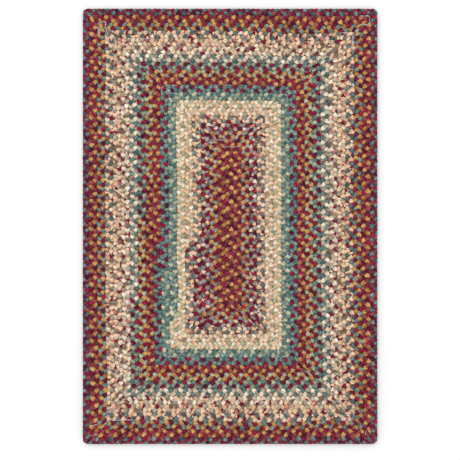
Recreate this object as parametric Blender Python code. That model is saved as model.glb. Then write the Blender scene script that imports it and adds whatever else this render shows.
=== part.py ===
"""A rectangular rug of three-strand plait, lying flat with its underside at z = 0.

One long plait starts as a straight column at the centre, winds round it as a rectangular spiral
and is laced to itself row by row. Three closed rings of plait are laced round the spiral. Each
row shows as a rounded rib with a shallow dip down its middle, where the strands cross.

X runs across the rug and Y along it, from the foot at -Y to the head at +Y. Rings are numbered
from the edge inwards: 1 is the rim, 4 the last turn of the spiral and 18 its first turn.
"""

import math
from collections import namedtuple

import bmesh
import bpy
from mathutils import Vector

# Driving sizes, in metres.
LENGTH = 0.7566
THICKNESS = 0.0085
RIM_WIDTH = 0.0109  # the outermost row, whose outer edge curls under
COLUMN_PITCH = 0.0140  # a row that runs along the rug
HEAD_PITCH = 0.01343  # a row across the head
FOOT_PITCH = 0.01368  # a row across the foot
RIB_HEIGHT = 0.0024  # from the seam between two rows up to the crown of a rib
CORNER_RADIUS = 0.0082
ROW_END_TAPER = 0.004  # over which the plait thins where it starts and ends
NODE_GAP = 0.0003

RING_COUNT = 18
SEWN_RINGS = 3
FIRST_TURN = RING_COUNT
LAST_TURN = SEWN_RINGS + 1
START_COLUMN = RING_COUNT + 1
CORNER_STEPS = 6
RIM_STEPS = 5
RIM_CROWN = 0.60  # share of the rim row's width where its edge starts to curl under
SHARP_ANGLE = math.radians(38)
POINT_DIGITS = 7  # decimals, in metres, to which two points count as the same
ON_LINE = 1e-6  # a point nearer than this to a straight edge lies on it

WIDTH = 2 * RIM_WIDTH + (2 * RING_COUNT - 1) * COLUMN_PITCH
SEAM_TOP = THICKNESS - RIB_HEIGHT
SEAM_UNDER = RIB_HEIGHT
MIDDLE = THICKNESS / 2

# Section of a row, from its inner seam to its outer one. The underside is pressed flat.
Section = namedtuple("Section", "across top_rise under_rise")
RIB = (
    Section(across=0.00, top_rise=0.00, under_rise=0.00),
    Section(across=0.10, top_rise=0.62, under_rise=0.70),
    Section(across=0.26, top_rise=1.00, under_rise=1.00),
    Section(across=0.41, top_rise=0.90, under_rise=1.00),
    Section(across=0.50, top_rise=0.66, under_rise=1.00),
    Section(across=0.59, top_rise=0.90, under_rise=1.00),
    Section(across=0.74, top_rise=1.00, under_rise=1.00),
    Section(across=0.90, top_rise=0.62, under_rise=0.70),
    Section(across=1.00, top_rise=0.00, under_rise=0.00),
)
RIM_INNER_HALF = 4

# A cut across a row: its ends on the two seams, and how much of the rib's height is left there.
Station = namedtuple("Station", "outer inner fullness")

# Corners in the order in which the plait meets them, from the foot's left one. Each gives the
# side of the rug that it is on, and the compass angle at which a rounded corner starts.
Corner = namedtuple("Corner", "side_x side_y start_angle")
FOOT_LEFT = Corner(-1, -1, -math.pi / 2)
HEAD_LEFT = Corner(-1, 1, math.pi)
HEAD_RIGHT = Corner(1, 1, math.pi / 2)
FOOT_RIGHT = Corner(1, -1, 0.0)
CORNERS = (FOOT_LEFT, HEAD_LEFT, HEAD_RIGHT, FOOT_RIGHT)

# Mean colour of each piece's yarns, linear.
CORE_COLOUR = (0.42, 0.30, 0.24)
TEAL_RING_COLOUR = (0.30, 0.16, 0.12)
GOLD_RING_COLOUR = (0.28, 0.10, 0.09)
RIM_COLOUR = (0.22, 0.07, 0.08)
COTTON_ROUGHNESS = 0.9


def clear_scene():
    for obj in list(bpy.data.objects):
        bpy.data.objects.remove(obj, do_unlink=True)


def seam_depth(ring, pitch, slack=0.0):
    """How far the outer seam of a ring lies in from the rug's edge."""
    if ring == 1:
        return 0.0
    return RIM_WIDTH + (ring - 2) * pitch + slack


def seam_x(ring, side, slack=0.0):
    return side * (WIDTH / 2 - seam_depth(ring, COLUMN_PITCH, slack))


def seam_y(ring, side, slack=0.0):
    pitch = HEAD_PITCH if side > 0 else FOOT_PITCH
    return side * (LENGTH / 2 - seam_depth(ring, pitch, slack))


def seam_corner(ring, corner, slack=0.0):
    return Vector((seam_x(ring, corner.side_x, slack), seam_y(ring, corner.side_y, slack)))


# --- The way of each plait -----------------------------------------------------------------


def spiral_slack(ring):
    """The spiral's outermost seam stays clear of the ring that is sewn on there."""
    return NODE_GAP / 2 if ring == LAST_TURN else 0.0


def spiral_corner(ring, corner):
    """Where the plait bends on a turn of the spiral, which steps out one row at the foot's left."""
    outer = seam_corner(ring, corner, spiral_slack(ring))
    inner = seam_corner(ring + 1, corner)
    if corner is FOOT_LEFT:
        outer.y = seam_y(ring + 1, corner.side_y)
        inner.y = seam_y(ring + 2, corner.side_y)
    return Station(outer, inner, 1.0)


def spiral_start():
    """The column at the centre, which runs down from under the first turn and bends back up."""
    head = seam_y(START_COLUMN, 1)
    outer_x = seam_x(START_COLUMN, 1)
    inner_x = seam_x(START_COLUMN, -1)
    full = head - ROW_END_TAPER
    return [
        Station(Vector((outer_x, head)), Vector((inner_x, head)), 0.0),
        Station(Vector((outer_x, full)), Vector((inner_x, full)), 1.0),
        Station(
            seam_corner(START_COLUMN, FOOT_RIGHT),
            Vector((inner_x, seam_y(START_COLUMN + 1, -1))),
            1.0,
        ),
    ]


def spiral_last_turn():
    """The last turn, which ends against the first sewn ring at the foot's left corner."""
    turn = [spiral_corner(LAST_TURN, corner) for corner in CORNERS]
    end_x = seam_x(LAST_TURN, -1, spiral_slack(LAST_TURN))
    full_x = end_x + ROW_END_TAPER
    outer_y = seam_y(LAST_TURN, -1, spiral_slack(LAST_TURN))
    inner_y = seam_y(LAST_TURN + 1, -1)
    turn.append(Station(Vector((full_x, outer_y)), Vector((full_x, inner_y)), 1.0))
    turn.append(Station(Vector((end_x, outer_y)), Vector((end_x, inner_y)), 0.0))
    return turn


def spiral_inner_turns():
    stations = spiral_start()
    for ring in range(FIRST_TURN, LAST_TURN, -1):
        stations += [spiral_corner(ring, corner) for corner in CORNERS]
    return stations


def sewn_ring(ring):
    """A closed ring of plait, mitred at its corners and clear of its neighbours."""
    stations = []
    for corner in CORNERS:
        outer = seam_corner(ring, corner, NODE_GAP / 2)
        inner = seam_corner(ring + 1, corner, -NODE_GAP / 2)
        stations.append(Station(outer, inner, 1.0))
    return stations + stations[:1]


def rim_ring():
    """The outermost ring, with rounded outer corners."""
    stations = []
    for corner in CORNERS:
        edge = seam_corner(1, corner)
        centre = edge - CORNER_RADIUS * Vector((corner.side_x, corner.side_y))
        inner = seam_corner(2, corner, -NODE_GAP / 2)
        for step in range(CORNER_STEPS + 1):
            angle = corner.start_angle - step / CORNER_STEPS * math.pi / 2
            reach = CORNER_RADIUS * Vector((math.cos(angle), math.sin(angle)))
            stations.append(Station(centre + reach, inner, 1.0))
    return stations + stations[:1]


# --- Sections --------------------------------------------------------------------------------


def rim_section():
    """A rib whose outer half turns down and under in a half round."""
    section = list(RIB[:RIM_INNER_HALF])
    for step in range(RIM_STEPS + 1):
        angle = step / RIM_STEPS * math.pi / 2
        across = RIM_CROWN + (1 - RIM_CROWN) * math.sin(angle)
        rise = (MIDDLE * math.cos(angle) - (MIDDLE - RIB_HEIGHT)) / RIB_HEIGHT
        section.append(Section(across, rise, rise))
    return section


def top_height(part, fullness):
    return SEAM_TOP + RIB_HEIGHT * part.top_rise * fullness


def under_height(part, fullness):
    return SEAM_UNDER - RIB_HEIGHT * part.under_rise * fullness


# --- Meshes ----------------------------------------------------------------------------------


class PlaitMesh:
    """A closed mesh of rows whose seams share their points."""

    def __init__(self):
        self.mesh = bmesh.new()
        self.points = {}

    def point(self, place):
        key = tuple(round(value, POINT_DIGITS) for value in place)
        if key not in self.points:
            self.points[key] = self.mesh.verts.new(key)
        return self.points[key]

    def on_station(self, station, part, height):
        spot = station.inner.lerp(station.outer, part.across)
        return self.point((spot.x, spot.y, height(part, station.fullness)))

    def between(self, start, end):
        """The points that already lie on the straight line between two others, in order."""
        if start is end:
            return []
        line = end.co - start.co
        length = line.length
        found = []
        for vert in self.points.values():
            along = (vert.co - start.co).dot(line) / length**2
            beside = (start.co + line * along - vert.co).length
            if vert not in (start, end) and 0 < along < 1 and beside < ON_LINE:
                found.append((along, vert))
        return [vert for _, vert in sorted(found, key=lambda pair: pair[0])]

    def face(self, corners):
        distinct = list(dict.fromkeys(corners))
        if len(distinct) > 2:
            self.mesh.faces.new(distinct)

    def fan(self, apex, base):
        for first, second in zip(base, base[1:]):
            self.face([apex, first, second])

    def strip(self, near, far):
        """A flat strip between two edges. Points that lie along either edge become its corners."""
        near_line = [near[0], *self.between(*near), near[1]]
        far_line = [far[0], *self.between(*far), far[1]]
        if len(near_line) == 2 and len(far_line) == 2:
            self.face([near[0], near[1], far[1], far[0]])
            return
        self.fan(far[1], near_line)
        self.fan(near[0], far_line)

    def add_points(self, stations, section):
        for station in stations:
            for part in section:
                self.on_station(station, part, top_height)
                self.on_station(station, part, under_height)

    def add_row(self, stations, section):
        for start, end in zip(stations, stations[1:]):
            for height in (top_height, under_height):
                for near, far in zip(section, section[1:]):
                    self.strip(
                        (self.on_station(start, near, height), self.on_station(end, near, height)),
                        (self.on_station(start, far, height), self.on_station(end, far, height)),
                    )

    def add_wall(self, stations, part):
        """The upright side of a row that no other row of the same piece joins."""
        for start, end in zip(stations, stations[1:]):
            self.face(
                [
                    self.on_station(start, part, top_height),
                    self.on_station(end, part, top_height),
                    self.on_station(end, part, under_height),
                    self.on_station(start, part, under_height),
                ]
            )

    def add_row_end(self, station, section):
        """Closes the end of a row that no other row of the same piece joins."""
        for near, far in zip(section, section[1:]):
            self.face(
                [
                    self.on_station(station, near, top_height),
                    self.on_station(station, far, top_height),
                    self.on_station(station, far, under_height),
                    self.on_station(station, near, under_height),
                ]
            )

    def finish(self, name, material):
        bmesh.ops.recalc_face_normals(self.mesh, faces=self.mesh.faces)
        data = bpy.data.meshes.new(name)
        self.mesh.to_mesh(data)
        self.mesh.free()
        data.shade_smooth()
        data.set_sharp_from_angle(angle=SHARP_ANGLE)
        data.materials.append(material)
        obj = bpy.data.objects.new(name, data)
        bpy.context.scene.collection.objects.link(obj)
        return obj


def cotton(name, colour):
    material = bpy.data.materials.new(name)
    material.use_nodes = True
    shader = material.node_tree.nodes["Principled BSDF"]
    shader.inputs["Base Color"].default_value = (*colour, 1.0)
    shader.inputs["Roughness"].default_value = COTTON_ROUGHNESS
    shader.inputs["Metallic"].default_value = 0.0
    return material


# --- Pieces ----------------------------------------------------------------------------------


def make_spiral_core():
    core = PlaitMesh()
    inner_turns = spiral_inner_turns()
    last_turn = spiral_last_turn()
    path = inner_turns + last_turn
    core.add_points(path, RIB)
    core.add_row(path, RIB)
    core.add_wall(last_turn, RIB[-1])
    core.add_row_end(last_turn[-1], RIB)
    return core.finish("spiral_core", cotton("core_cotton", CORE_COLOUR))


def make_sewn_ring(ring, name, colour):
    piece = PlaitMesh()
    stations = sewn_ring(ring)
    piece.add_row(stations, RIB)
    piece.add_wall(stations, RIB[0])
    piece.add_wall(stations, RIB[-1])
    return piece.finish(name, cotton(name + "_cotton", colour))


def make_rim_ring():
    piece = PlaitMesh()
    stations = rim_ring()
    section = rim_section()
    piece.add_row(stations, section)
    piece.add_wall(stations, section[0])
    return piece.finish("rim_ring", cotton("rim_cotton", RIM_COLOUR))


def main():
    clear_scene()
    make_spiral_core()
    make_sewn_ring(3, "teal_gold_ring", TEAL_RING_COLOUR)
    make_sewn_ring(2, "gold_ring", GOLD_RING_COLOUR)
    make_rim_ring()


main()
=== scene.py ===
"""Looks of the braided cotton rug, built strand by strand as it is made.

A plait is three strands of cotton. Each one swings from side to side of its row while it passes
over and under the other two, and it changes yarn where the next one was joined on. The rows lie
as in the frame: one plait winds out from the centre in a rectangular spiral, and three closed
rings of plait are laced round it.

A plait runs up the left side, along the head, down the right side and back along the foot. Its
`way` is the distance run so far. Across a row, a place goes from 0 at the inner seam to 1 at the
outer one. Rings are numbered from the edge inwards: 1 is the rim, 4 the last turn of the spiral.
"""

import math
from collections import namedtuple

import bpy
import numpy as np
from mathutils.bvhtree import BVHTree
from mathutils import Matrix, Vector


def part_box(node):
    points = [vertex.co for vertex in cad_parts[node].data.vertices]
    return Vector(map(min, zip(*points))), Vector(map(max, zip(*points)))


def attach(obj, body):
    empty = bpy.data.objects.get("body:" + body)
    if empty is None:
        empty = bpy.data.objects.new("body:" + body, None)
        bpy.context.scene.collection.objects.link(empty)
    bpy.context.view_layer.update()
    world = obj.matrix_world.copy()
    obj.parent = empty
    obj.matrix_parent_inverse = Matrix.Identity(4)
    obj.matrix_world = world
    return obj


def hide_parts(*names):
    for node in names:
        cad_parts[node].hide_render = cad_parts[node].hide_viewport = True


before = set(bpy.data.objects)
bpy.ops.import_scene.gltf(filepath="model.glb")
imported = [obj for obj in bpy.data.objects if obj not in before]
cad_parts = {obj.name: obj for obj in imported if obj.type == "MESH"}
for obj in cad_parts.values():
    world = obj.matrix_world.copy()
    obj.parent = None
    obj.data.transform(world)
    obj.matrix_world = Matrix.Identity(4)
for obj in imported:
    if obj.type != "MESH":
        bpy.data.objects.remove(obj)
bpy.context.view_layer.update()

MM = 0.001

# --- Rows, as the frame has them ---

CLEARANCE = 0.15 * MM  # half of the gap between two CAD nodes
RIM_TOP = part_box("rim_ring")[1]
GOLD_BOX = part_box("gold_ring")
TEAL_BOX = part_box("teal_gold_ring")

HALF_WIDTH = RIM_TOP.x
HALF_LENGTH = RIM_TOP.y
MIDDLE = RIM_TOP.z / 2
RIM_WIDTH = HALF_WIDTH - GOLD_BOX[1].x - CLEARANCE
COLUMN_PITCH = GOLD_BOX[1].x - TEAL_BOX[1].x
HEAD_PITCH = GOLD_BOX[1].y - TEAL_BOX[1].y
FOOT_PITCH = TEAL_BOX[0].y - GOLD_BOX[0].y

RIM, GOLD_RING, TEAL_RING = 1, 2, 3
LAST_TURN = 4
FIRST_TURN = 18
START_COLUMN = FIRST_TURN + 1
BEND_RADIUS = 6 * MM  # of every seam where it rounds a corner
RIM_RADIUS = 8.2 * MM
BEND_RUN = 3 * MM  # before and after a bend, over which the plait fans out
BEND_STEPS = 16
FAN_STEPS = 40  # points on each rail, through one bend and the runs beside it
MARK_STEP = 1 * MM  # between two marks of the way
LEAD = 20 * MM  # by which rails go on past the ends of an open plait

# Where the rows have been pushed off their even pitch: a place from the rug's middle, how far
# round it the push reaches and by how much it moves them, all in mm.
Push = namedtuple("Push", "x y reach_x reach_y move_x move_y")
PUSHES = (
    Push(120, 300, 80, 70, 0, -4.4),
    Push(-40, 300, 110, 45, 0, -1.6),
    Push(0, -260, 260, 85, 0, 3.6),
    Push(-165, -60, 30, 200, 1.8, 0),
    Push(-108, 80, 32, 150, -3.0, 0),
    Push(155, 70, 45, 170, -3.2, 0),
    Push(55, 20, 40, 130, -2.4, 0),
    Push(120, 229, 75, 60, -2.4, 0),
    Push(-70, 190, 45, 40, -2.0, 0),
    Push(-105, 37, 40, 38, 1.6, 0),
    Push(-205, -265, 55, 85, 3.2, 0),
    Push(-170, 0, 40, 40, -1.4, 0),
    Push(-232, 290, 25, 40, 1.0, 0),
    Push(-238, -285, 20, 50, 1.2, 0),
    Push(-172, 190, 35, 90, -0.8, 0),
    Push(-135, -215, 40, 35, 1.2, 0),
    Push(224, 20, 24, 100, -2.2, 0),
    Push(224, -100, 26, 70, -1.8, 0),
    Push(168, 255, 35, 75, -1.4, 0),
    Push(165, -40, 90, 300, -0.9, 0),
    Push(150, 30, 36, 60, 1.4, 0),
    Push(160, -130, 30, 80, -0.8, 0),
    Push(150, 355, 75, 30, 0, -2.8),
    Push(105, 262, 45, 30, 0, -1.0),
    Push(50, -112, 30, 40, -2.0, 0),
    Push(-150, -350, 60, 40, 0, 2.2),
    Push(170, -360, 60, 28, 0, 2.0),
    Push(-95, -300, 45, 40, 0, 1.6),
    Push(50, -340, 80, 14, 0, -1.6),
    Push(-35, 105, 35, 40, -1.6, 0),
    Push(-15, 180, 55, 45, -2.2, 0),
    Push(-40, -25, 55, 55, -1.1, 0),
    Push(10, -190, 80, 35, 1.8, 0),
    Push(238, -40, 18, 150, -1.0, 0),
    Push(-174, -260, 35, 25, 0, -1.2),
    Push(35, -362, 40, 14, 0, -1.2),
    Push(-115, 73, 28, 36, 0.8, 0),
    Push(10, 182, 30, 35, -0.8, -0.8),
    Push(125, -285, 55, 40, 0.5, 1.3),
    Push(20, -168, 36, 14, 2.4, 0),
    Push(165, -312, 45, 14, 0, 1.5),
    Push(-165, -310, 45, 16, 0, 1.6),
)
EDGE_FADE = 16 * MM  # the rug's edge stays straight, and the pushes fade out towards it
WAVES = 14  # of random lengths and directions, added to the pushes
WAVE_LENGTHS = (45 * MM, 140 * MM)
WAVE_SIZE = 0.35 * MM  # root mean square of all of them together
WAVE_SEED = 7

# Where along the sides of a ring the strand with this number lies on top, at the outer side of
# its row, in mm from the rug's middle: near both ends, and in between where the rhythm changes.
# The innermost rings have one such place or none on their short sides.
Beats = namedtuple("Beats", "ring strand left head right foot")
BEATS = (
    Beats(1, 0, (-333, 6, 341), (-213, 6, 208), (-299, -156, 59), (-220, 3, 209)),
    Beats(2, 0, (-323, -124, 310), (-189, 205), (-331, -211, 13), (-200, -102, -5, 196)),
    Beats(3, 0, (-313, 5, 317), (-182, 14, 189), (-273, 115), (-157, -5, 149)),
    Beats(4, 0, (-297, -194, 3, 289), (-164, 11, 165), (-305, -182, -87, 108), (-169, 162)),
    Beats(5, 2, (-283, -46, 290), (-160, 168), (-288, 5, 171), (-148, 153)),
    Beats(6, 2, (-267, -93, 6, 270), (-152, 147), (-273, 1, 263), (-138, 137)),
    Beats(7, 2, (-259, -64, 76, 249), (-119, 129), (-252, -58, 84, 253), (-124, 130)),
    Beats(8, 0, (-240, 2, 240), (-125, 122), (-251, -53, 62, 231), (-117, 104)),
    Beats(9, 1, (-220, -29, 237), (-105, 95), (-191, -45, 189), (-110, 89)),
    Beats(10, 1, (-193, -45, 186), (-76, 93), (-220, -123, -7, 89, 210), (-91, 83)),
    Beats(11, 0, (-164, -92, 169), (-66, 83), (-191, 1, 192), (-60, 61)),
    Beats(12, 0, (-167, -90, 151), (-62, 63), (-175, 18, 186), (-48, 51)),
    Beats(13, 0, (-176, 20, 189), (-44, 54), (-164, -71, 167), (-40, 34)),
    Beats(14, 1, (-132, -33, 131), (-2,), (-133, 131), (12,)),
    Beats(15, 2, (-38, 128), (2,), (-151, 143), (20,)),
    Beats(16, 0, (-135, 11, 124), (), (-133, 134), ()),
    Beats(17, 1, (-121, 116), (), (-114, 124), ()),
    Beats(18, 1, (-105, 112), (), (-95, 95), ()),
    Beats(START_COLUMN, 1, (-54, 66), (), (), ()),
)

# --- The plait ---

# A turn is the way in which a strand goes to both sides of its row and back. It is shorter round
# the corners, where the plait is held more tightly.
SIDE_TURNS = {"left": 24.1 * MM, "head": 24.8 * MM, "right": 24.1 * MM, "foot": 25.1 * MM}
SIDE_WAYS = {"left": (0, 1), "head": (1, 0), "right": (0, -1), "foot": (-1, 0)}
CORNER_TURN = 22 * MM
CORNER_REACH = 27 * MM  # from the middle of a row's corner to where the side's rhythm starts
CORNER_MARKS = 14  # marks of the way, on each side of a bend, that still have the corner's turn
STRAIGHT_COSINE = 0.95  # of the angle to a side's own direction, above which a row is straight
STEPS_PER_TURN = 16
STRANDS = 3
HALF_ROW = 7 * MM  # half the width of a row, before it is fitted between its seams
SWING = 4.9 * MM
LIFT = 2.4 * MM
FLATNESS = 2.2  # of the lobes: higher keeps a strand at its full height for longer
SECTION_DEGREES = (8, 52, 90, 128, 172, 232, 270, 308)  # round a section, from its outer side
FOLD = SECTION_DEGREES.index(90)  # the point on top, where the cotton strip is folded in
FOLD_DEPTH = 1.0 * MM
BOXINESS = 0.56  # power of the section's sine and cosine: 1 is an ellipse, less is boxier
CROSSING_HALF_WIDTH = 3.7 * MM
CROSSING_HALF_HEIGHT = 2.1 * MM
EDGE_HALF_WIDTH = 3.1 * MM
EDGE_HALF_HEIGHT = 3.2 * MM
EDGE_POWER = 3  # higher keeps the narrow section nearer to the row's edge
ROLL = 0.10  # how far a strand's outer side dips, as a slope
FREE_REACH = 0.85  # of half a row, within which a strand isn't pressed by the next row
FULL_REACH = 1.12
END_TAPER = 4 * MM
END_FULLNESS = 0.45  # of a strand's size, at the ends of an open plait
RIM_INNER_SHARE = 0.58  # of the rim's width lies inside the line where its strands cross
FAN_HOLD = 0.9  # how far a strand keeps its own width where the plait fans out: 1 is wholly

DRIFT_STEPS = 8
TURN_DRIFT = 0.16  # radians, by which a strand runs ahead or lags behind
SIDE_DRIFT = 0.35 * MM
HEIGHT_DRIFT = 0.15 * MM
WIDTH_DRIFT = 0.10

# Positions in a strand's own turn, in radians. A strand lies highest at a quarter of a half turn.
SEEN_TURN = 0.92  # in the middle of the part that is seen of it
HIDDEN_TURN = 0.75 * math.pi  # where it is deepest under the others, every half turn

# --- Thread ---

THREAD_RADIUS = 0.4 * MM
DOUBLED_RADIUS = 0.7 * MM  # of the loose stitches
THREAD_SIDES = 4
THREAD_STEP = 5 * MM
STITCH = 20 * MM  # from one stitch to the next on the same side of the seam
STITCH_REACH = 0.05  # of a row's width, on each side of the seam
THREAD_HEIGHT = MIDDLE + 1.1 * MM
THREAD_DRIFT = 1.1 * MM  # up and down, so that the thread shows in some places only
THREAD_SEED = 31
TUCKED_HEIGHT = MIDDLE  # of both ends of a stitch that lies on top
CORNER_CUTS = 3  # times that the corners of its route are cut
CUT_SHARE = 0.25  # of each line of the route, taken off at both of its ends
RAY_START = 1.0  # a height well above the rug

# Stitches that lie on top of the plaits: their routes, in mm from the rug's middle. Both ends are
# tucked into a seam. Those along the seams are of single thread.
SEAM_STITCHES = (
    ((-190, 326), (-172, 326), (-150, 326), (-130, 326)),
    ((-118, 221), (-119, 232), (-118, 243), (-112, 245), (-102, 245), (-92, 245)),
    ((-109, 231), (-101, 232), (-92, 231)),
    ((82, 229), (92, 229), (100, 228), (100, 215)),
    ((-116, -214), (-116, -225), (-104, -227), (-84, -227)),
    ((103, -214), (103, -225), (92, -227), (74, -227)),
    ((-100, 217), (-94, 218), (-90, 218), (-91, 212), (-91, 203)),
    ((-34, 151), (-20, 150), (-4, 150), (12, 151)),
    ((-16, 138), (0, 138), (17, 138)),
)

# The loose ones at the corners of the outer rows are of doubled thread.
LOOSE_STITCHES = (
    ((-231, 352), (-226, 354), (-219, 356), (-215, 354), (-217, 349), (-215, 342), (-211, 328)),
    ((-230, 352), (-229, 344), (-228, 336), (-227, 331)),
    ((-211, 339), (-206, 340), (-202, 339)),
    ((-205, 327), (-200, 327), (-198, 322), (-198, 315)),
    ((225, 366), (231, 365), (240, 366), (243, 363), (242, 358), (243, 352), (240, 350), (226, 350)),
    ((193, 337), (203, 337), (212, 337), (214, 334), (213, 326), (213, 316), (213, 302)),
    ((-167, -336), (-185, -336), (-203, -337), (-214, -335), (-213, -329), (-214, -320), (-213, -313)),
    ((-211, -319), (-206, -318), (-202, -318), (-193, -321)),
    ((-240, -347), (-236, -345), (-231, -344)),
    ((-240, -362), (-235, -361), (-231, -361)),
    ((191, -337), (203, -337), (213, -336), (214, -330), (214, -320), (213, -312)),
    ((219, -352), (224, -350), (228, -348)),
    ((236, -355), (236, -358), (235, -362)),
    ((181, -306), (186, -304), (193, -303)),
)

WAVE_RNG = np.random.default_rng(WAVE_SEED)
WAVE_ANGLES = WAVE_RNG.uniform(0, 2 * math.pi, WAVES)
WAVE_NUMBERS = 2 * math.pi / WAVE_RNG.uniform(*WAVE_LENGTHS, WAVES)
WAVE_STARTS = WAVE_RNG.uniform(0, 2 * math.pi, (2, WAVES))

Corner = namedtuple("Corner", "side_x side_y way_in way_out")
FOOT_LEFT = Corner(-1, -1, (-1, 0), (0, 1))
HEAD_LEFT = Corner(-1, 1, (0, 1), (1, 0))
HEAD_RIGHT = Corner(1, 1, (1, 0), (0, -1))
FOOT_RIGHT = Corner(1, -1, (0, -1), (-1, 0))
CORNERS = (FOOT_LEFT, HEAD_LEFT, HEAD_RIGHT, FOOT_RIGHT)

Bend = namedtuple("Bend", "corner outer inner outer_radius inner_radius")


def seam_depth(ring, pitch):
    """How far the outer seam of a ring lies in from the rug's edge."""
    return 0.0 if ring == RIM else RIM_WIDTH + (ring - GOLD_RING) * pitch


def seam_x(ring, side):
    return side * (HALF_WIDTH - seam_depth(ring, COLUMN_PITCH))


def seam_y(ring, side):
    pitch = HEAD_PITCH if side > 0 else FOOT_PITCH
    return side * (HALF_LENGTH - seam_depth(ring, pitch))


def seam_corner(ring, corner):
    return np.array((seam_x(ring, corner.side_x), seam_y(ring, corner.side_y)))


def side_place(ring, side, along):
    """A place on the middle of a ring's row, at a distance along one side."""
    if side in ("left", "right"):
        sign = 1 if side == "right" else -1
        return (seam_x(ring, sign) + seam_x(ring + 1, sign)) / 2, along
    sign = 1 if side == "head" else -1
    return along, (seam_y(ring, sign) + seam_y(ring + 1, sign)) / 2


def eased(share):
    share = np.clip(share, 0, 1)
    return share * share * (3 - 2 * share)


def distances(line):
    """How far it is along a line of points, up to each of them."""
    lengths = np.linalg.norm(np.diff(line, axis=0), axis=1)
    return np.concatenate([[0], np.cumsum(lengths)])


def settled(spots):
    """Moves places on the even pitch to where the rows of the used rug lie."""
    x, y = spots[..., 0], spots[..., 1]
    moved = np.zeros(spots.shape)
    for push in PUSHES:
        far_x = (x / MM - push.x) / push.reach_x
        far_y = (y / MM - push.y) / push.reach_y
        near = np.exp(-far_x * far_x - far_y * far_y)
        moved += near[..., None] * np.array((push.move_x * MM, push.move_y * MM))
    run = x[..., None] * np.cos(WAVE_ANGLES) + y[..., None] * np.sin(WAVE_ANGLES)
    for axis in (0, 1):
        waves = np.sin(run * WAVE_NUMBERS + WAVE_STARTS[axis]).sum(axis=-1)
        moved[..., axis] += WAVE_SIZE * waves * math.sqrt(2 / WAVES)
    to_edge = np.minimum(HALF_WIDTH - np.abs(x), HALF_LENGTH - np.abs(y))
    return spots + moved * eased(to_edge / EDGE_FADE)[..., None]


def ring_bends(ring):
    """The bends of a closed ring. Only the rim's outer edge is rounded more than a seam."""
    radius = RIM_RADIUS if ring == RIM else BEND_RADIUS
    return [
        Bend(corner, seam_corner(ring, corner), seam_corner(ring + 1, corner), radius, BEND_RADIUS)
        for corner in CORNERS
    ]


def spiral_bend(ring, corner):
    """A bend of the spiral, which steps out by one row at the foot's left corner."""
    outer = seam_corner(ring, corner)
    inner = seam_corner(ring + 1, corner)
    inner_radius = BEND_RADIUS
    if corner is FOOT_LEFT:
        outer[1] = seam_y(ring + 1, -1)
        inner[1] = seam_y(ring + 2, -1)
        if ring == FIRST_TURN:
            inner_radius = 0.0
    return Bend(corner, outer, inner, BEND_RADIUS, inner_radius)


def spiral_bends():
    """All bends of the spiral. Its start column turns back on itself, round one point."""
    pivot = np.array((seam_x(START_COLUMN, -1), seam_y(START_COLUMN + 1, -1)))
    bends = [Bend(FOOT_RIGHT, seam_corner(START_COLUMN, FOOT_RIGHT), pivot, BEND_RADIUS, 0.0)]
    for ring in range(FIRST_TURN, LAST_TURN - 1, -1):
        bends += [spiral_bend(ring, corner) for corner in CORNERS]
    return bends


# --- Rails: the two seams that a plait runs between ---


def rounded(corner_point, way_in, way_out, radius):
    """Points on the arc that rounds a corner."""
    centre = corner_point + radius * (way_out - way_in)
    angle = np.linspace(0, math.pi / 2, BEND_STEPS + 1)[:, None]
    return centre + radius * (way_in * np.sin(angle) - way_out * np.cos(angle))


def opposite(corner_point, way, point):
    """The point of the line through a corner that lies straight across from a given one."""
    return corner_point + way * ((point - corner_point) @ way)


def spread_evenly(line, count):
    """As many points as asked for, evenly spaced along a line of points."""
    along = distances(line)
    wanted = np.linspace(0, along[-1], count)
    return np.stack([np.interp(wanted, along, line[:, axis]) for axis in (0, 1)], axis=1)


def bend_rails(bend, run_in, run_out):
    """Matched points on the outer and inner rail, through one bend and the runs beside it."""
    way_in = np.array(bend.corner.way_in, float)
    way_out = np.array(bend.corner.way_out, float)
    inner_arc = rounded(bend.inner, way_in, way_out, bend.inner_radius)
    inner = np.vstack([inner_arc[0] - run_in * way_in, inner_arc, inner_arc[-1] + run_out * way_out])
    outer_arc = rounded(bend.outer, way_in, way_out, bend.outer_radius)
    first = opposite(bend.outer, way_in, inner[0])
    last = opposite(bend.outer, way_out, inner[-1])
    outer = np.vstack([first, outer_arc, last])
    return spread_evenly(outer, FAN_STEPS), spread_evenly(inner, FAN_STEPS)


def run_between(bend, next_bend):
    """How far the plait may fan out beside a bend, before the next one starts."""
    straight = np.linalg.norm(next_bend.inner - bend.inner)
    return min(BEND_RUN, (straight - bend.inner_radius - next_bend.inner_radius) / 2)


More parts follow.
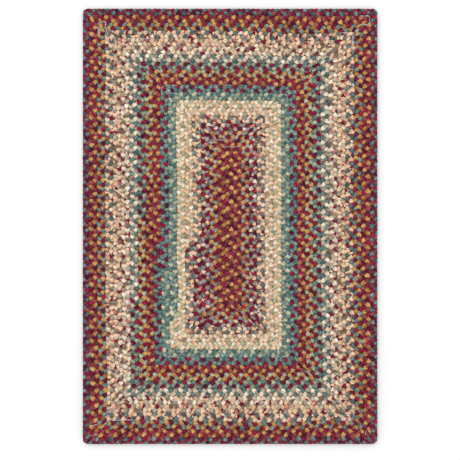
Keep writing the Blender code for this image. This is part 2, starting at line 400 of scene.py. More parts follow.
class Rails:
    """Two matched lines, with the distance run along the middle between them."""

    def __init__(self, outer, inner, lead=0.0):
        self.closed = lead == 0.0
        self.outer = outer
        self.inner = inner
        self.way = distances((outer + inner) / 2) - lead
        self.length = self.way[-1] - lead
        self.marks = np.arange(0, self.length, MARK_STEP)
        self.middle = self.place(self.marks, np.full(len(self.marks), 0.5))
        self.turns = np.cumsum(MARK_STEP / self.turn_lengths())

    def on(self, rail, way):
        return np.stack([np.interp(way, self.way, rail[:, axis]) for axis in (0, 1)], axis=-1)

    def place(self, way, across):
        if self.closed:
            way = way % self.length
        inner = self.on(self.inner, way)
        outer = self.on(self.outer, way)
        return settled(inner + across[..., None] * (outer - inner))

    def way_nearest(self, x, y):
        return self.marks[np.argmin(np.hypot(self.middle[:, 0] - x, self.middle[:, 1] - y))]

    def turn_lengths(self):
        """Length of a turn of the plait at each mark."""
        step = np.gradient(self.middle, axis=0)
        heading = step / np.linalg.norm(step, axis=1)[:, None]
        lengths = np.full(len(step), CORNER_TURN)
        for side, side_way in SIDE_WAYS.items():
            lengths[heading @ np.array(side_way) > STRAIGHT_COSINE] = SIDE_TURNS[side]
        near = range(-CORNER_MARKS, CORNER_MARKS + 1)
        return np.min([np.roll(lengths, shift) for shift in near], axis=0)

    def even_turns(self, way):
        """Turns of the plait up to a way, if every side and corner keeps its own rhythm."""
        rounds = np.floor(way / self.length) if self.closed else 0
        return rounds * self.turns[-1] + np.interp(way - rounds * self.length, self.marks, self.turns)

    def stretch(self, way, across):
        """How much longer the plait runs here than along its middle."""
        step = self.place(way + MARK_STEP, across) - self.place(way - MARK_STEP, across)
        return np.linalg.norm(step, axis=-1) / (2 * MARK_STEP)

    def spread(self, way):
        """How much wider the row is here than along a straight side."""
        if self.closed:
            way = way % self.length
        width = np.linalg.norm(self.on(self.outer, way) - self.on(self.inner, way), axis=-1)
        return np.maximum(width / (2 * HALF_ROW), 1)


def joined_rails(bends, first_run, last_run):
    """Both rails through all bends, with the runs before the first one and after the last."""
    runs = [run_between(bend, next_bend) for bend, next_bend in zip(bends, bends[1:])]
    runs = [first_run, *runs, last_run]
    pairs = [bend_rails(*parts) for parts in zip(bends, runs, runs[1:])]
    outer = np.vstack([pair[0] for pair in pairs])
    inner = np.vstack([pair[1] for pair in pairs])
    return outer, inner


def ring_rails(ring):
    outer, inner = joined_rails(ring_bends(ring), BEND_RUN, BEND_RUN)
    return Rails(np.vstack([outer, outer[:1]]), np.vstack([inner, inner[:1]]))


def spiral_rails():
    outer, inner = joined_rails(spiral_bends(), 0.0, BEND_RUN)
    lead = np.array((0, LEAD))
    head = seam_y(START_COLUMN, 1)
    start_outer = np.array((seam_x(START_COLUMN, 1), head))
    start_inner = np.array((seam_x(START_COLUMN, -1), head))
    tail = np.array((LEAD, 0))
    end_outer = np.array((seam_x(LAST_TURN, -1), seam_y(LAST_TURN, -1)))
    end_inner = np.array((seam_x(LAST_TURN, -1), seam_y(LAST_TURN + 1, -1)))
    outer = np.vstack([start_outer + lead, start_outer, outer, end_outer, end_outer - tail])
    inner = np.vstack([start_inner + lead, start_inner, inner, end_inner, end_inner - tail])
    return Rails(outer, inner, LEAD)


# --- Strands ---

# `ways` is the way at each step, and `turns` how often the plait has turned by then. Where `turns`
# is whole, the first strand is in the middle of what is seen of it at the row's outer side.
Plait = namedtuple("Plait", "rails ways turns inner_share seed")
Path = namedtuple("Path", "turns side rise lean")
Tube = namedtuple("Tube", "points laid yarns closed")


def side_reach(ring, side):
    """How far a side runs straight, to both ends from the rug's middle."""
    corner = (seam_corner(ring, HEAD_RIGHT) + seam_corner(ring + 1, HEAD_RIGHT)) / 2
    return corner[1 if side in ("left", "right") else 0] - CORNER_REACH


def side_beats(row, side):
    """Distances along a side: those of the table, and on from its outer ones, a turn apart."""
    known = [place * MM for place in getattr(row, side)]
    if not known:
        return []
    turn = SIDE_TURNS[side]
    reach = side_reach(row.ring, side)
    before = max(math.floor((reach + known[0]) / turn), 0)
    after = max(math.floor((reach - known[-1]) / turn), 0)
    first = [known[0] - count * turn for count in range(1, before + 1)]
    last = [known[-1] + count * turn for count in range(1, after + 1)]
    return first + known + last


def beats_on(rails, rings):
    """The way at each beat on the rings, and the part of a turn that the plait is in there."""
    beats = [
        (rails.way_nearest(*side_place(row.ring, side, along)), row.strand / STRANDS)
        for row in BEATS
        for side in SIDE_WAYS
        if row.ring in rings
        for along in side_beats(row, side)
    ]
    beats.sort()
    if rails.closed:
        beats.append((beats[0][0] + rails.length, beats[0][1]))
    return beats


def counted(rails, beats):
    """Even and real turns at the beats: as many whole turns between them as come nearest."""
    even = [float(rails.even_turns(way)) for way, _ in beats]
    turns = [beats[0][1]]
    for gap, (_, part) in zip(np.diff(even), beats[1:]):
        turns.append(part + round(turns[-1] + gap - part))
    if not rails.closed:
        lead, rest = even[0], float(rails.even_turns(rails.length)) - even[-1]
        turns = [turns[0] - lead, *turns, turns[-1] + rest]
        even = [0, *even, even[-1] + rest]
    return even, turns


def make_plait(rails, rings, inner_share=0.5):
    beats = beats_on(rails, rings)
    even, turns = counted(rails, beats)
    start = beats[0][0] if rails.closed else 0
    ways = np.arange(start, start + rails.length + MARK_STEP, MARK_STEP)
    turns_there = np.interp(rails.even_turns(ways), even, turns)
    first, last = math.ceil(turns[0] * STEPS_PER_TURN), math.floor(turns[-1] * STEPS_PER_TURN)
    if rails.closed:
        last -= 1
    step_turns = np.arange(first, last + 1) / STEPS_PER_TURN
    return Plait(rails, np.interp(step_turns, turns_there, ways), step_turns, inner_share, rings[0])


def ring_plait(ring, inner_share=0.5):
    return make_plait(ring_rails(ring), (ring,), inner_share)


def spiral_plait():
    return make_plait(spiral_rails(), range(START_COLUMN, LAST_TURN - 1, -1))


def strand_turns(plait, strand):
    """How far a strand has turned round the plait's middle, in radians, at each step."""
    return 2 * math.pi * (plait.turns - strand / STRANDS) + SEEN_TURN


def drift(rng, steps, size):
    """A smooth random wander from -size to size. Round a closed ring its ends meet."""
    count = max(steps // DRIFT_STEPS, 1)
    knots = rng.uniform(-size, size, count)
    at = np.arange(steps) / DRIFT_STEPS
    knot = at.astype(int)
    ease = eased(at - knot)
    return knots[knot % count] * (1 - ease) + knots[(knot + 1) % count] * ease


def fullness(plait):
    """1 along the plait, and less towards the ends of an open one."""
    if plait.rails.closed:
        return np.ones(len(plait.ways))
    to_end = np.minimum(plait.ways, plait.rails.length - plait.ways) / END_TAPER
    return END_FULLNESS + (1 - END_FULLNESS) * np.clip(to_end, 0, 1)


def section_sizes(rng, turns, full):
    """Half width and half height of a strand's section at each step."""
    tight = np.abs(np.sin(turns)) ** (2 * EDGE_POWER)
    width = CROSSING_HALF_WIDTH + (EDGE_HALF_WIDTH - CROSSING_HALF_WIDTH) * tight
    height = CROSSING_HALF_HEIGHT + (EDGE_HALF_HEIGHT - CROSSING_HALF_HEIGHT) * tight
    return width * full * (1 + drift(rng, len(turns), WIDTH_DRIFT)), height * full


def section_outline():
    angle = np.radians(SECTION_DEGREES)
    wide = np.sign(np.cos(angle)) * np.abs(np.cos(angle)) ** BOXINESS
    high = np.sign(np.sin(angle)) * np.abs(np.sin(angle)) ** BOXINESS
    return wide, high


def pressed(share):
    """Holds back what would reach past a seam, where the next row presses it flat."""
    room = FULL_REACH - FREE_REACH
    over = np.maximum(np.abs(share) - FREE_REACH, 0)
    return np.sign(share) * (np.minimum(np.abs(share), FREE_REACH) + room * np.tanh(over / room))


def across_row(side_way, inner_share):
    """Turns a distance from the plait's middle into a place across its row."""
    share = pressed(side_way / HALF_ROW)
    return inner_share + share * np.where(share < 0, inner_share, 1 - inner_share)


def strand_path(plait, strand, rng):
    """A strand's middle: its turns, how far it lies to the side and up, and how it slants."""
    steps = len(plait.ways)
    turns = strand_turns(plait, strand) + drift(rng, steps, TURN_DRIFT)
    side = SWING * np.sin(turns) + drift(rng, steps, SIDE_DRIFT)
    level = np.tanh(FLATNESS * np.sin(2 * turns)) / math.tanh(FLATNESS)
    rise = LIFT * level + drift(rng, steps, HEIGHT_DRIFT)
    turn_length = np.gradient(plait.ways) * STEPS_PER_TURN
    lean = np.arctan(SWING * np.cos(turns) * 2 * math.pi / turn_length)
    return Path(turns, side, rise, lean)


def strand_section(turns, full, rng):
    """How far each point of a strand's section lies out from its middle, and up from it."""
    half_width, half_height = section_sizes(rng, turns, full)
    wide, high = section_outline()
    out = half_width[:, None] * wide
    up = half_height[:, None] * high
    up[:, FOLD] -= FOLD_DEPTH
    return out, up


def strand_points(plait, strand):
    """Points of a strand's surface, and where each one lies on the strand laid out straight."""
    rng = np.random.default_rng((plait.seed, strand))
    path = strand_path(plait, strand, rng)
    full = fullness(plait)
    out, up = strand_section(path.turns, full, rng)
    stretch = plait.rails.stretch(plait.ways, across_row(path.side, plait.inner_share))
    way = plait.ways[:, None] - (np.sin(path.lean) / stretch**FAN_HOLD)[:, None] * out
    spread = plait.rails.spread(plait.ways)
    beside = path.side[:, None] + (np.cos(path.lean) / spread**FAN_HOLD)[:, None] * out
    roll = ROLL * np.sin(2 * path.turns) * np.sin(path.turns)
    height = MIDDLE + (path.rise * full)[:, None] + up - roll[:, None] * out
    spot = plait.rails.place(way, across_row(beside, plait.inner_share))
    points = np.concatenate([spot, np.maximum(height, 0)[..., None]], axis=-1)
    along = distances(np.stack([plait.ways, path.side, path.rise], axis=1))
    laid = np.stack([np.broadcast_to(along[:, None], out.shape), out, up], axis=-1)
    return points, laid


# --- Yarns ---

# From `way` on, a strand is of this yarn.
Change = namedtuple("Change", "strand way yarn")


def hidden_steps(turns):
    """The steps at which a strand lies deepest under the other two."""
    half_turns = np.floor((turns - HIDDEN_TURN) / math.pi)
    return np.flatnonzero(np.diff(half_turns)) + 1


def yarn_of_steps(plait, strand, first_yarn, changes):
    """The yarn of a strand at each step. It changes only where the strand is hidden."""
    hidden = hidden_steps(strand_turns(plait, strand))
    yarns = np.full(len(plait.ways), first_yarn, object)
    for change in changes:
        if change.strand == strand:
            step = hidden[np.argmin(np.abs(plait.ways[hidden] - change.way))]
            yarns[step:] = change.yarn
    return yarns


def plait_tubes(plait, first_yarns, changes):
    """The three strands of a plait, each with its yarns."""
    tubes = []
    for strand, first_yarn in enumerate(first_yarns):
        points, laid = strand_points(plait, strand)
        yarns = yarn_of_steps(plait, strand, first_yarn, changes)
        tubes.append(Tube(points, laid, yarns, plait.rails.closed))
    return tubes


def thread_tube(line, radius):
    """A thin tube along a line of points."""
    ahead = np.gradient(line, axis=0)
    ahead /= np.linalg.norm(ahead, axis=1)[:, None]
    beside = np.cross((0, 0, 1), ahead)
    beside /= np.linalg.norm(beside, axis=1)[:, None]
    above = np.cross(ahead, beside)
    angle = 2 * math.pi * np.arange(THREAD_SIDES) / THREAD_SIDES
    out, up = radius * np.cos(angle), radius * np.sin(angle)
    points = line[:, None] + beside[:, None] * out[:, None] + above[:, None] * up[:, None]
    laid = np.stack(np.broadcast_arrays(distances(line)[:, None], out, up), axis=-1)
    return Tube(points, laid, np.full(len(line), THREAD_YARN, object), False)


def seam_thread(rails, across, length, rng):
    """Thread that goes from row to row along a seam, on one rail of a plait."""
    ways = np.arange(0, length, THREAD_STEP)
    stitch = STITCH_REACH * np.sin(2 * math.pi * ways / STITCH)
    height = THREAD_HEIGHT + drift(rng, len(ways), THREAD_DRIFT)
    line = np.column_stack([rails.place(ways, across + stitch), height])
    return thread_tube(line, THREAD_RADIUS)


def softened(line):
    """Rounds a route by cutting its corners, and keeps both ends."""
    kept = 1 - CUT_SHARE
    for _ in range(CORNER_CUTS):
        start, end = line[:-1], line[1:]
        cut = np.stack([kept * start + CUT_SHARE * end, CUT_SHARE * start + kept * end], axis=1)
        line = np.vstack([line[:1], cut.reshape(-1, 2), line[-1:]])
    return line


def top_at(spot, trees):
    """How high the plaits reach at a place."""
    above = (*spot, RAY_START)
    hits = [tree.ray_cast(above, (0, 0, -1))[0] for tree in trees]
    return max((hit.z for hit in hits if hit), default=MIDDLE)


def laid_stitch(route, radius, trees):
    """Thread that lies on top of the plaits and bridges the dips between their strands."""
    line = softened(np.array(route) * MM)
    tops = np.array([top_at(spot, trees) for spot in line])
    bridged = np.max([tops[:-2], tops[1:-1], tops[2:]], axis=0) + radius / 2
    height = np.concatenate([[TUCKED_HEIGHT], bridged, [TUCKED_HEIGHT]])
    return thread_tube(np.column_stack([line, height]), radius)


def cut_tube(tube, first, last):
    """The stretch of a tube from one step to another, both kept."""
    part = slice(first, last + 1)
    return Tube(tube.points[part], tube.laid[part], tube.yarns[part], False)


# --- Meshes ---

CAP_CELLS = 2
CELL_MARGIN = 0.12  # kept free round each cap's cell in the map
FACE_SHAPE = 2.2 / 1.9  # size of a face round its tube by its size along it, as the map has it
QUAD_CORNERS = 4
MAP_NAME = "OFBake"
MAP_EDGE = 0.004
LAID_NAME = "laid_straight"


def tube_quads(count, sides, closed):
    """Corners of a tube's faces, as indices into its points, ring by ring."""
    ring = np.arange(count if closed else count - 1)[:, None]
    side = np.arange(sides)[None, :]
    next_ring = (ring + 1) % count
    next_side = (side + 1) % sides
    corners = [
        ring * sides + side,
        ring * sides + next_side,
        next_ring * sides + next_side,
        next_ring * sides + side,
    ]
    return np.stack(corners, axis=-1).reshape(-1, 4)


def quad_map(first_cell, rings, sides, columns, rows):
    """Where a tube's faces lie in the map: a strip that goes on in the next row of the map."""
    cell = (first_cell + np.arange(rings))[:, None]
    left = cell % columns / columns
    low = (cell // columns + np.arange(sides)[None, :] / (sides + 1)) / rows
    right = left + 1 / columns
    high = low + 1 / (sides + 1) / rows
    left, right = (np.broadcast_to(edge, low.shape) for edge in (left, right))
    corners = [(left, low), (left, high), (right, high), (right, low)]
    return np.stack([np.stack(corner, axis=-1) for corner in corners], axis=2).reshape(-1, 4, 2)


def cap_map(cell, sides, columns, rows):
    angle = 2 * math.pi * np.arange(sides) / sides
    reach = 0.5 - CELL_MARGIN
    left = (cell % columns + 0.5 + reach * np.cos(angle)) / columns
    low = (cell // columns + 0.5 + reach * np.sin(angle)) / rows
    return np.stack([left, low], axis=-1)


def map_shape(cells, sides):
    """How many columns and rows of the map hold that many cells, nearly in a strand's proportions."""
    cell_shape = (sides + 1) * FACE_SHAPE
    rows = max(1, math.ceil(math.sqrt(cells / cell_shape)))
    return math.ceil(cells / rows) + 1, rows


class PieceMesh:
    """Gathers tubes into the mesh of one piece, with its map and the yarn of each face."""

    def __init__(self, tubes):
        self.points, self.laid, self.faces, self.map, self.yarns = [], [], [], [], []
        self.sides = tubes[0].points.shape[1]
        self.used = 0
        self.first_cell = 0
        cells = sum(len(tube.points) + CAP_CELLS for tube in tubes)
        self.columns, self.rows = map_shape(cells, self.sides)
        for tube in tubes:
            self.add_tube(tube)

    def add_tube(self, tube):
        count = len(tube.points)
        rings = count if tube.closed else count - 1
        quads = tube_quads(count, self.sides, tube.closed) + self.used
        self.faces += quads.tolist()
        self.map.append(
            quad_map(self.first_cell, rings, self.sides, self.columns, self.rows).reshape(-1, 2)
        )
        self.yarns += np.repeat(tube.yarns[:rings], self.sides).tolist()
        if not tube.closed:
            self.add_caps(tube, rings)
        self.points.append(tube.points.reshape(-1, 3))
        self.laid.append(tube.laid.reshape(-1, 3))
        self.used += count * self.sides
        self.first_cell += rings + CAP_CELLS

    def add_caps(self, tube, rings):
        first_ring = list(range(self.used, self.used + self.sides))
        last_ring = [point + rings * self.sides for point in first_ring]
        for cell, corners in enumerate((first_ring[::-1], last_ring)):
            self.faces.append(corners)
            place = self.first_cell + rings + cell
            self.map.append(cap_map(place, self.sides, self.columns, self.rows))
        self.yarns += [tube.yarns[0], tube.yarns[-1]]

    def finish(self, name):
        data = bpy.data.meshes.new(name)
        data.from_pydata(np.vstack(self.points).tolist(), [], self.faces)
        data.shade_smooth()
        # The caps of strands are sharp. Those of thread are quads, as smooth as its sides.
        sharp = np.array([len(face) > QUAD_CORNERS for face in self.faces])
        data.attributes.new("sharp_face", "BOOLEAN", "FACE").data.foreach_set("value", sharp)
        self.add_map(data)
        laid = data.attributes.new(LAID_NAME, "FLOAT_VECTOR", "POINT")
        laid.data.foreach_set("vector", np.vstack(self.laid).astype(np.float32).ravel())
        self.add_yarns(data)
        obj = bpy.data.objects.new(name, data)
        bpy.context.scene.collection.objects.link(obj)
        return obj

    def add_map(self, data):
        placed = MAP_EDGE + (1 - 2 * MAP_EDGE) * np.vstack(self.map)
        layer = data.uv_layers.new(name=MAP_NAME)
        layer.data.foreach_set("uv", placed.astype(np.float32).ravel())

    def add_yarns(self, data):
        names = sorted(set(self.yarns))
        for yarn in names:
            data.materials.append(bpy.data.materials[yarn])
        index = np.array([names.index(yarn) for yarn in self.yarns], np.int32)
        data.polygons.foreach_set("material_index", index)
        data.update()


# --- Yarn materials ---

# Colours as the eye reads them, red, green and blue from 0 to 255. `flecks` is how much lighter
# and darker than its colour a yarn is in its flecks.
Plain = namedtuple("Plain", "dark middle light flecks", defaults=(0.24,))
Print = namedtuple("Print", "patches flecks", defaults=(0.24,))
Patch = namedtuple("Patch", "share colour")

YARNS = {
    "burgundy": Plain((82, 24, 49), (124, 30, 59), (166, 38, 66), 0.30),
    "rust": Plain((112, 50, 62), (145, 71, 76), (170, 92, 90), 0.30),
    "rim_rust": Plain((98, 46, 58), (135, 68, 74), (162, 88, 88), 0.30),
    "gold": Plain((160, 106, 56), (200, 149, 85), (216, 172, 106), 0.34),
    "rim_teal": Plain((68, 92, 96), (100, 126, 128), (130, 152, 152), 0.50),
    "soft_teal": Plain((86, 106, 104), (118, 136, 130), (150, 164, 154), 0.44),
    "dark_teal": Plain((80, 95, 96), (103, 119, 118), (132, 144, 140), 0.44),
    "grey_teal": Plain((94, 102, 100), (122, 130, 127), (150, 156, 150), 0.44),
    "steel_teal": Plain((72, 97, 99), (100, 123, 120), (132, 150, 144), 0.50),
    "teal": Plain((80, 109, 107), (108, 135, 131), (146, 165, 155), 0.50),
    "grey_sage": Plain((128, 138, 114), (164, 169, 142), (194, 196, 168), 0.30),
    "pale_sage": Plain((156, 160, 130), (186, 186, 152), (216, 210, 178), 0.30),
    "oatmeal": Plain((154, 134, 112), (189, 169, 143), (213, 196, 170), 0.30),
    "stone": Plain((130, 112, 98), (178, 164, 144), (212, 196, 174), 0.30),
    "cool_grey": Plain((120, 114, 112), (152, 148, 143), (178, 174, 168), 0.30),
    "ivory": Plain((216, 190, 162), (242, 222, 197), (250, 238, 218), 0.30),
    "peach": Plain((220, 173, 136), (241, 203, 165), (249, 219, 187), 0.30),
    "peach_print": Print(
        (
            Patch(0.32, (242, 202, 164)),
            Patch(0.22, (130, 104, 88)),
            Patch(0.27, (128, 28, 55)),
            Patch(0.08, (206, 120, 118)),
            Patch(0.11, (240, 224, 202)),
        )
    ),
}
THREAD_YARN = "lacing_grey"
THREAD_COLOUR = Plain((168, 158, 166), (206, 196, 204), (228, 222, 226))

COLOUR_LEVELS = 255
SRGB_KNEE = 0.04045
SRGB_SLOPE = 12.92
SRGB_OFFSET = 0.055
SRGB_POWER = 2.4
ROUGHNESS = 0.92
SPECULAR = 0.12
SHEEN = 0.02
YARN_REPEAT = 14 * MM  # length of yarn over which its dye goes from dark to light
DYE_DETAIL = 1.0
PATCH_SIZE = 7 * MM
FLECK_SIZE = 2.2 * MM
FLECK_DETAIL = 2.0
FLECK_LOW, FLECK_HIGH = 0.38, 0.62  # of the noise, between which flecks go from dark to light
RIB_PITCH = 3.4 * MM  # along a strand, from one slanting rib to the next
# painted shade in the grooves of the ribs and painted highlight on their tops, as a share of the
# colour
RIB_PAINTED_SHADING = 0.14
RIB_DEPTH = 0.25 * MM
RIB_STRENGTH = 0.6
RIB_WANDER = 2.5
DIAGONAL_WAVES = 10 / (2 * math.pi)  # along one axis, in one unit of Blender's wave texture
PAINTED_SHADE_BOTTOM, PAINTED_SHADE_TOP = -0.6 * MM, 1.5 * MM  # up a strand's section, from its middle: over these heights the painted shade of its lower part, down in the creases between strands, fades out
# how dark the painted shade makes a strand at its lowest, as a share of its colour
PAINTED_SHADE_LEVEL = 0.38
DYE_LOW, DYE_HIGH = 0.36, 0.64


def linear_share(level):
    share = level / COLOUR_LEVELS
    if share <= SRGB_KNEE:
        return share / SRGB_SLOPE
    return ((share + SRGB_OFFSET) / (1 + SRGB_OFFSET)) ** SRGB_POWER


def linear(colour):
    """A colour in the amounts of light that the shaders take."""
    return tuple(linear_share(level) for level in colour)


class Nodes:
    """Adds and links the nodes of one material."""

    def __init__(self, name):
        self.material = bpy.data.materials.new(name)
        self.material.use_nodes = True
        self.tree = self.material.node_tree
        self.shader = self.tree.nodes["Principled BSDF"]

    def add(self, kind, **settings):
        node = self.tree.nodes.new(kind)
        for key, value in settings.items():
            setattr(node, key, value)
        return node

    def link(self, output, socket):
        self.tree.links.new(output, socket)

    def laid_straight(self, size):
        """Coordinates on the strand laid out straight, in units of the given size."""
        attribute = self.add("ShaderNodeAttribute", attribute_name=LAID_NAME)
        scaled = self.add("ShaderNodeVectorMath", operation="SCALE")
        scaled.inputs["Scale"].default_value = 1 / size
        self.link(attribute.outputs["Vector"], scaled.inputs[0])
        return scaled.outputs["Vector"]

    def noise(self, size, detail):
        noise = self.add("ShaderNodeTexNoise")
        noise.inputs["Scale"].default_value = 1.0
        noise.inputs["Detail"].default_value = detail
        self.link(self.laid_straight(size), noise.inputs["Vector"])
        return noise.outputs["Fac"]

    def ramp(self, factor, stops, interpolation="LINEAR"):
        ramp = self.add("ShaderNodeValToRGB")
        ramp.color_ramp.interpolation = interpolation
        elements = ramp.color_ramp.elements
        while len(elements) < len(stops):
            elements.new(1.0)
        for element, (place, colour) in zip(elements, stops):
            element.position = place
            element.color = (*linear(colour), 1.0)
        self.link(factor, ramp.inputs["Fac"])
        return ramp.outputs["Color"]

    def level(self, value, low, high, to_low, to_high):
        """Goes from one level to another while a value goes from low to high."""
        node = self.add("ShaderNodeMapRange")
        names = ("From Min", "From Max", "To Min", "To Max")
        for name, number in zip(names, (low, high, to_low, to_high)):
            node.inputs[name].default_value = number
        self.link(value, node.inputs["Value"])
        return node.outputs["Result"]

    def scaled(self, colour, level):
        node = self.add("ShaderNodeVectorMath", operation="SCALE")
        self.link(colour, node.inputs[0])
        self.link(level, node.inputs["Scale"])
        return node.outputs["Vector"]


def dyed(nodes, yarn):
    """Colour that goes slowly from dark to light along the yarn."""
    colours = (yarn.dark, yarn.middle, yarn.light)
    places = np.linspace(DYE_LOW, DYE_HIGH, len(colours)).tolist()
    return nodes.ramp(nodes.noise(YARN_REPEAT, DYE_DETAIL), list(zip(places, colours)))


def printed(nodes, yarn):
    """Patches of several colours, as on a strip of printed cloth."""
    cells = nodes.add("ShaderNodeTexVoronoi")
    cells.inputs["Scale"].default_value = 1.0
    nodes.link(nodes.laid_straight(PATCH_SIZE), cells.inputs["Vector"])
    part = nodes.add("ShaderNodeSeparateColor")
    nodes.link(cells.outputs["Color"], part.inputs["Color"])
    starts = np.cumsum([0] + [patch.share for patch in yarn.patches[:-1]]).tolist()
    stops = [(start, patch.colour) for start, patch in zip(starts, yarn.patches)]
    return nodes.ramp(part.outputs["Red"], stops, "CONSTANT")


def ribs(nodes):
    """Slanting ribs, as of knitted cotton tube: 0 in the grooves and 1 on top."""
    wave = nodes.add("ShaderNodeTexWave", bands_direction="DIAGONAL")
    wave.inputs["Scale"].default_value = 1.0
    wave.inputs["Distortion"].default_value = RIB_WANDER
    nodes.link(nodes.laid_straight(RIB_PITCH * DIAGONAL_WAVES), wave.inputs["Vector"])
    return wave.outputs["Fac"]


def raised(nodes, height):
    bump = nodes.add("ShaderNodeBump")
    bump.inputs["Strength"].default_value = RIB_STRENGTH
    bump.inputs["Distance"].default_value = RIB_DEPTH
    nodes.link(height, bump.inputs["Height"])
    return bump.outputs["Normal"]


def height_on_strand(nodes):
    part = nodes.add("ShaderNodeSeparateXYZ")
    nodes.link(nodes.laid_straight(1.0), part.inputs["Vector"])
    return part.outputs["Z"]


def make_yarn(name, yarn, painted_shade=True):
    """Cloth of a strand, with painted shade low on its section, or of a thread too thin for that
    painted shade.
    """
    nodes = Nodes(name)
    colour = dyed(nodes, yarn) if isinstance(yarn, Plain) else printed(nodes, yarn)
    rib = ribs(nodes)
    fleck = nodes.noise(FLECK_SIZE, FLECK_DETAIL)
    levels = [
        nodes.level(fleck, FLECK_LOW, FLECK_HIGH, 1 - yarn.flecks, 1 + yarn.flecks),
        # painted shade in the ribs' grooves and painted highlight on their tops
        nodes.level(rib, 0, 1, 1 - RIB_PAINTED_SHADING, 1 + RIB_PAINTED_SHADING),
    ]
    # Painted shade: darker towards the bottom of a strand's section, where it goes down between the
    # other strands.
    if painted_shade:
        height = height_on_strand(nodes)
        levels.append(nodes.level(height, PAINTED_SHADE_BOTTOM, PAINTED_SHADE_TOP, PAINTED_SHADE_LEVEL, 1))
    for level in levels:
        colour = nodes.scaled(colour, level)
    nodes.link(colour, nodes.shader.inputs["Base Color"])
    nodes.link(raised(nodes, rib), nodes.shader.inputs["Normal"])
    nodes.shader.inputs["Roughness"].default_value = ROUGHNESS
    nodes.shader.inputs["Specular IOR Level"].default_value = SPECULAR
    nodes.shader.inputs["Sheen Weight"].default_value = SHEEN


def make_yarns():
    for name, yarn in YARNS.items():
        make_yarn(name, yarn)
    make_yarn(THREAD_YARN, THREAD_COLOUR, painted_shade=False)


# --- Pieces ---

SPIRAL_YARNS = ("burgundy", "gold", "rust")
SWAP_PLACE = 27 * MM  # on the foot of the teal and gold ring, where two strands change places

# Where the spiral's strands change yarn, all on the left side: `along` it in mm from its middle.
Join = namedtuple("Join", "strand ring along yarn")
JOINS = (
    Join(2, 17, -140, "cool_grey"),
    Join(1, 16, -142, "peach_print"),
    Join(2, 15, -90, "grey_teal"),
    Join(1, 15, -67, "peach"),
    Join(0, 15, -41, "peach_print"),
    Join(0, 14, -29, "oatmeal"),
    Join(2, 14, -29, "ivory"),
    Join(0, 13, -198, "pale_sage"),
    Join(1, 12, -159, "teal"),
    Join(2, 12, -147, "teal"),
    Join(0, 11, -79, "burgundy"),
    Join(2, 10, -67, "rust"),
    Join(1, 10, -29, "gold"),
    Join(2, 9, 79, "grey_sage"),
    Join(1, 8, 20, "steel_teal"),
    Join(2, 7, -144, "ivory"),
    Join(0, 7, -119, "stone"),
    Join(1, 6, -276, "peach_print"),
    Join(2, 5, -189, "peach"),
    Join(0, 4, -29, "dark_teal"),
)


def spiral_changes(rails):
    places = [side_place(join.ring, "left", join.along * MM) for join in JOINS]
    return [
        Change(join.strand, rails.way_nearest(*place), join.yarn)
        for join, place in zip(JOINS, places)
    ]


def plait_piece(name, tubes, node):
    """A piece of plait that stands for a CAD node."""
    obj = PieceMesh(tubes).finish(name)
    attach(obj, "root")
    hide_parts(node)
    return obj


def turn_starts(plait):
    """The step at which each turn of the spiral starts, at the foot's left corner."""
    starts = [0]
    for ring in range(FIRST_TURN - 1, LAST_TURN - 1, -1):
        outer = spiral_bend(ring, FOOT_LEFT).outer
        way = plait.rails.way_nearest(outer[0] + COLUMN_PITCH, outer[1] + FOOT_PITCH / 2)
        starts.append(int(np.searchsorted(plait.ways, way)))
    return starts + [len(plait.ways) - 1]


def make_spiral():
    """One long plait, as a piece for each turn. The first one holds the start column too."""
    plait = spiral_plait()
    tubes = plait_tubes(plait, SPIRAL_YARNS, spiral_changes(plait.rails))
    starts = turn_starts(plait)
    pieces = []
    for turn, (first, last) in enumerate(zip(starts, starts[1:])):
        parts = [cut_tube(tube, first, last) for tube in tubes]
        name = f"plait_turn_{FIRST_TURN - turn:02d}"
        pieces.append(plait_piece(name, parts, "spiral_core"))
    return pieces


def make_teal_gold_ring():
    """From near the foot's middle to the head's left corner, two strands have changed places."""
    plait = ring_plait(TEAL_RING)
    head_left = plait.rails.way_nearest(*seam_corner(TEAL_RING, HEAD_LEFT))
    on_foot = plait.rails.way_nearest(*side_place(TEAL_RING, "foot", SWAP_PLACE))
    changes = (
        Change(1, head_left, "gold"),
        Change(2, head_left, "burgundy"),
        Change(1, on_foot, "burgundy"),
        Change(2, on_foot, "gold"),
    )
    tubes = plait_tubes(plait, ("soft_teal", "burgundy", "gold"), changes)
    return plait_piece("teal_gold_plait", tubes, "teal_gold_ring")


def make_gold_ring():
    tubes = plait_tubes(ring_plait(GOLD_RING), ("gold", "rust", "burgundy"), ())
    return plait_piece("gold_plait", tubes, "gold_ring")


def make_rim_ring():
    plait = ring_plait(RIM, RIM_INNER_SHARE)
    tubes = plait_tubes(plait, ("rim_teal", "rim_rust", "burgundy"), ())
    return plait_piece("rim_plait", tubes, "rim_ring")


def make_thread(plaits):
    """The thread that laces every row to the next, with the stitches that lie on top."""
    rng = np.random.default_rng(THREAD_SEED)
    spiral = spiral_rails()
    start_column = seam_y(START_COLUMN, 1) - seam_y(START_COLUMN + 1, -1)
    tubes = [seam_thread(spiral, 0.0, start_column, rng), seam_thread(spiral, 1.0, spiral.length, rng)]
    for ring in (TEAL_RING, GOLD_RING):
        rails = ring_rails(ring)
        tubes.append(seam_thread(rails, 1.0, rails.length, rng))
    graph = bpy.context.evaluated_depsgraph_get()
    trees = [BVHTree.FromObject(plait, graph) for plait in plaits]
    tubes += [laid_stitch(route, THREAD_RADIUS, trees) for route in SEAM_STITCHES]
    tubes += [laid_stitch(route, DOUBLED_RADIUS, trees) for route in LOOSE_STITCHES]
    obj = PieceMesh(tubes).finish("lacing_thread")
    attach(obj, "root")


# --- Floor, light and camera ---

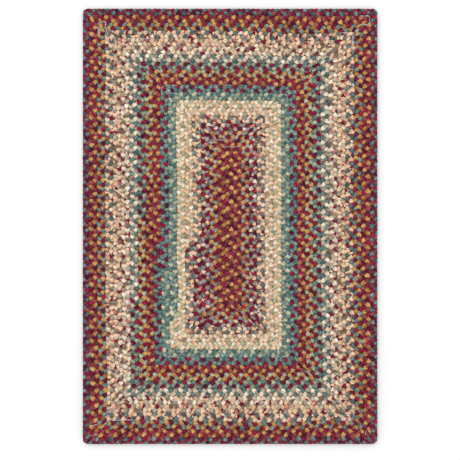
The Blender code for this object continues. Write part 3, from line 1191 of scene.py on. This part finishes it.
FLOOR_SIZE = 6.0
FLOOR_DROP = 0.2 * MM  # keeps the floor clear of the flat undersides of the strands
FLOOR_COLOUR = (0.9, 0.9, 0.9)
FLOOR_GLOW = 0.12  # keeps the floor nearly white next to the rug, where its shade greys it
WHITE = (1, 1, 1, 1)
WORLD_STRENGTH = 0.9
KEY_PLACE = (-0.9, 1.1, 2.4)
KEY_SIZE = 1.6
KEY_POWER = 14.0
LENS = 100.0
SENSOR = 36.0
VIEW_WIDTH = 800.3 * MM
CAMERA_OFFSET = (-0.1 * MM, -6.3 * MM)


def make_floor():
    half = FLOOR_SIZE / 2
    corners = [(-half, -half, 0), (half, -half, 0), (half, half, 0), (-half, half, 0)]
    data = bpy.data.meshes.new("floor")
    data.from_pydata(corners, [], [(0, 1, 2, 3)])
    material = bpy.data.materials.new("floor_white")
    material.use_nodes = True
    shader = material.node_tree.nodes["Principled BSDF"]
    shader.inputs["Base Color"].default_value = (*FLOOR_COLOUR, 1.0)
    shader.inputs["Roughness"].default_value = 1.0
    shader.inputs["Emission Color"].default_value = WHITE
    shader.inputs["Emission Strength"].default_value = FLOOR_GLOW
    data.materials.append(material)
    floor = bpy.data.objects.new("floor", data)
    floor.location.z = -FLOOR_DROP
    bpy.context.scene.collection.objects.link(floor)


def make_light():
    world = bpy.data.worlds.new("studio")
    world.use_nodes = True
    background = world.node_tree.nodes["Background"]
    background.inputs["Color"].default_value = WHITE
    background.inputs["Strength"].default_value = WORLD_STRENGTH
    bpy.context.scene.world = world
    data = bpy.data.lights.new("key", "AREA")
    data.size = KEY_SIZE
    data.energy = KEY_POWER
    key = bpy.data.objects.new("key", data)
    key.location = KEY_PLACE
    key.rotation_euler = (-key.location).to_track_quat("-Z", "Y").to_euler()
    bpy.context.scene.collection.objects.link(key)


def make_camera():
    data = bpy.data.cameras.new("camera")
    data.lens = LENS
    data.sensor_width = SENSOR
    camera = bpy.data.objects.new("camera", data)
    distance = VIEW_WIDTH * LENS / SENSOR
    camera.location = (*CAMERA_OFFSET, MIDDLE + distance)
    bpy.context.scene.collection.objects.link(camera)
    bpy.context.scene.camera = camera
    bpy.context.scene.view_settings.view_transform = "Standard"


make_yarns()
make_thread([*make_spiral(), make_teal_gold_ring(), make_gold_ring(), make_rim_ring()])
make_floor()
make_light()
make_camera()
